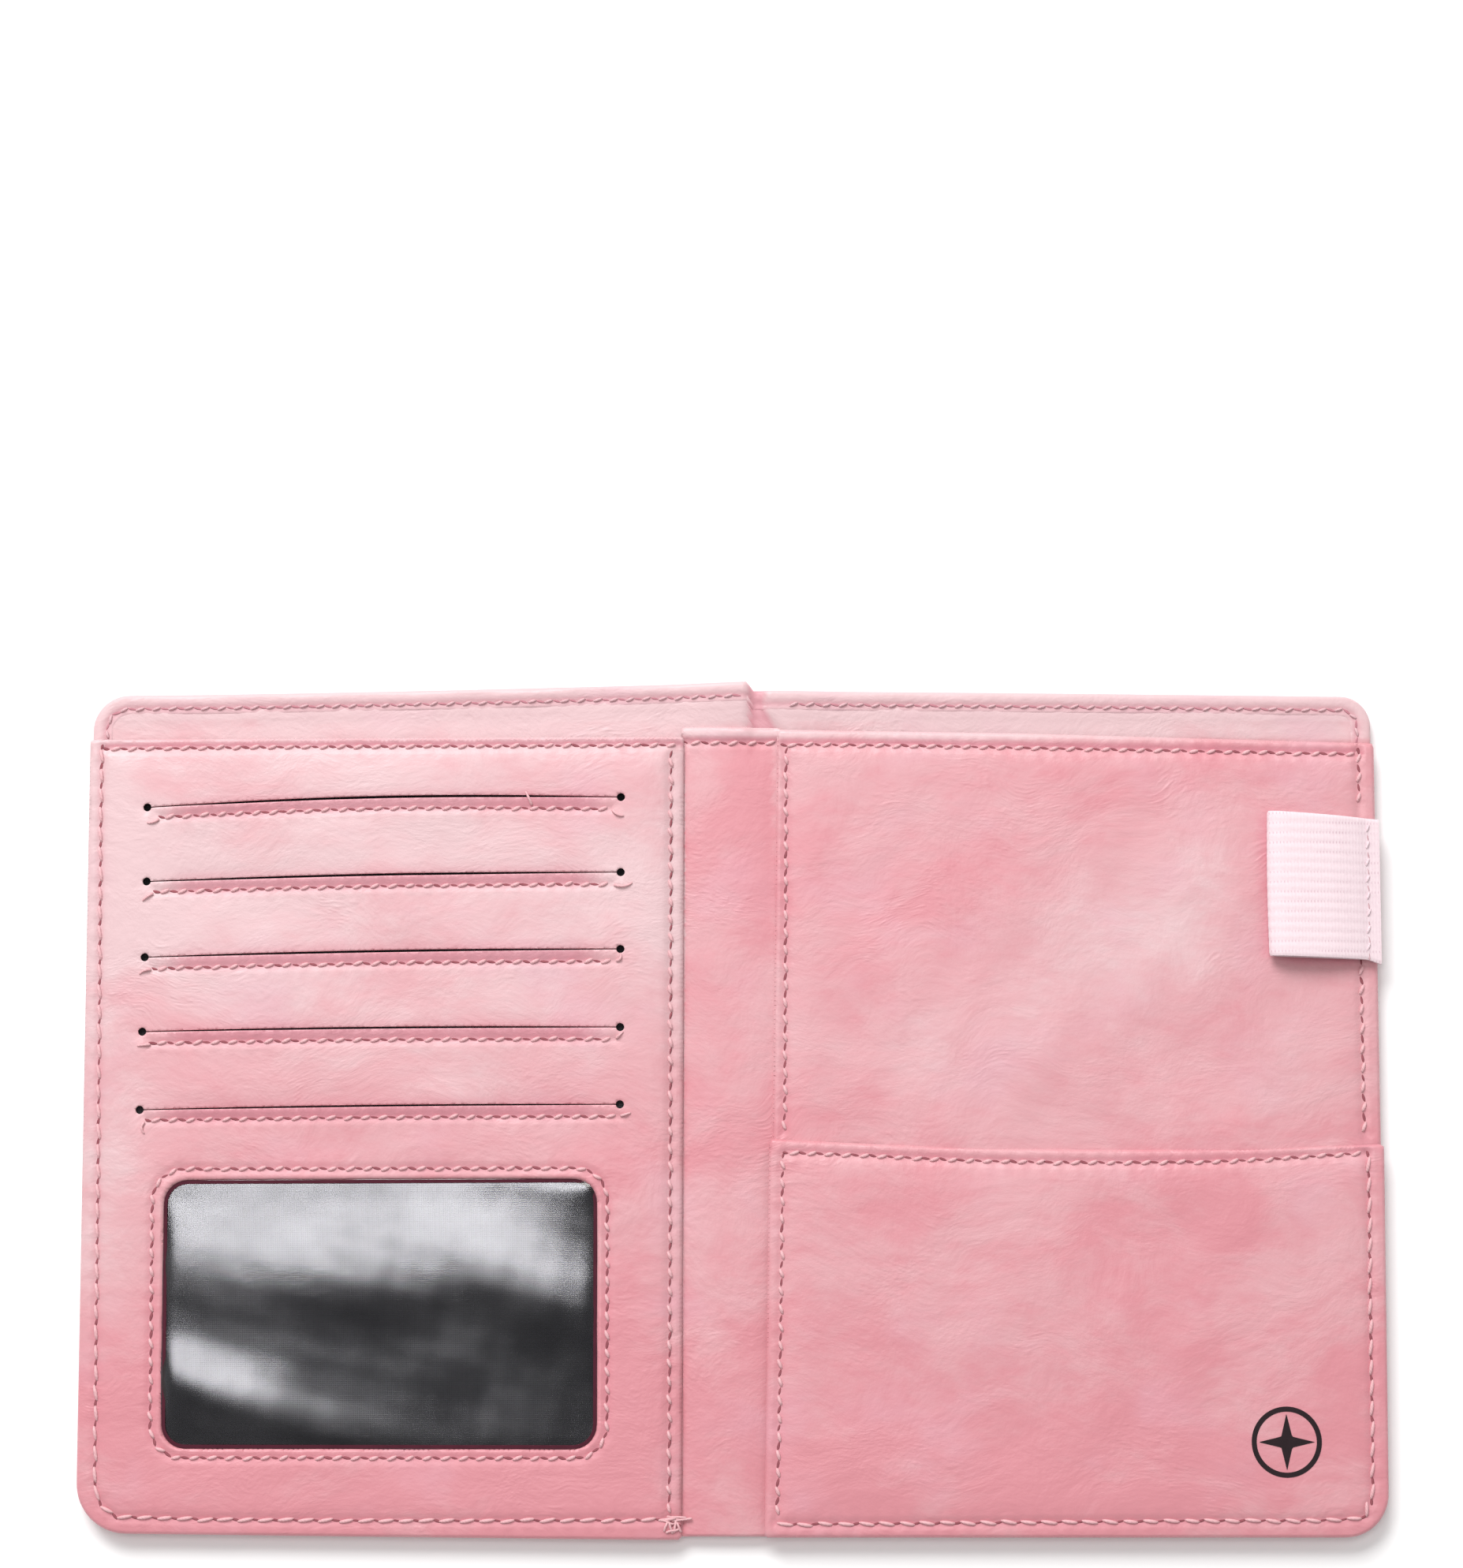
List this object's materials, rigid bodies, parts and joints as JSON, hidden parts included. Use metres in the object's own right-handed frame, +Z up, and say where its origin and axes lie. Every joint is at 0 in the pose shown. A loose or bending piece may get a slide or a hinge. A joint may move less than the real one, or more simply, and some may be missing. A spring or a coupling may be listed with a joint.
{
  "type": "passport holder",
  "caption": "Open-flat faux-leather passport holder with card slits, clear ID window, passport sleeve, boarding-pass pocket and elastic pen loop; folds shut like a book.",
  "frame": {"origin": "under the middle of the open holder, on the surface it lies on", "axes": "+X across both halves towards the passport half, +Y up the page towards the open cash pocket, +Z up out of the inside faces"},
  "size_m": [0.235, 0.153, 0.0082],
  "materials": {
    "cover_leather": "soft satin faux leather with a pull-up mottle and fine creases",
    "inner_leather": "soft satin faux leather with a pull-up mottle and fine creases",
    "stiffener_board": "plain grey board",
    "black_lining": "plain-weave black polyester",
    "clear_film": "clear glossy vinyl",
    "elastic": "ribbed woven elastic",
    "thread": "polyester sewing thread",
    "print": "matt black print"
  },
  "bodies": {
    "right_half": {"outer_cover_right": "cover_leather", "right_stiffener_board": "stiffener_board", "cover_lining_right": "inner_leather", "sleeve_backing": "inner_leather", "passport_panel": "inner_leather", "boarding_pass_pocket": "inner_leather", "emblem": "print", "pen_loop_tab": "elastic", "perimeter_seam_right": "thread", "passport_panel_top_seam": "thread", "passport_panel_edge_seam": "thread", "boarding_pocket_seam": "thread", "pen_loop_seam": "thread"},
    "spine": {"outer_cover_spine": "cover_leather", "cover_lining_spine": "inner_leather", "spine_strip": "inner_leather", "spine_seam": "thread"},
    "left_half": {"outer_cover_left": "cover_leather", "left_stiffener_board": "stiffener_board", "cover_lining_left": "inner_leather", "card_panel_backing": "black_lining", "card_pocket_1": "black_lining", "card_pocket_2": "black_lining", "card_pocket_3": "black_lining", "card_pocket_4": "black_lining", "id_pocket": "black_lining", "id_window_film": "clear_film", "card_panel": "inner_leather", "perimeter_seam_left": "thread", "card_slit_seams": "thread", "id_window_seam": "thread", "card_panel_top_seam": "thread", "card_panel_edge_seam": "thread"},
    "pen_loop": {"pen_loop": "elastic"}
  },
  "joints": [
    {"name": "right_fold", "type": "hinge", "parent": "right_half", "child": "spine", "pos_m": [0.0056, 0, 0.0032], "axis": [0, 1, 0], "range_deg": [0, 90]},
    {"name": "left_fold", "type": "hinge", "parent": "spine", "child": "left_half", "pos_m": [-0.0084, 0, 0.0032], "axis": [0, 1, 0], "range_deg": [0, 90]},
    {"name": "pen_loop_flip", "type": "hinge", "parent": "right_half", "child": "pen_loop", "pos_m": [0.11515, 0.04035, 0.006], "axis": [0, 1, 0], "range_deg": [0, 175]}
  ]
}
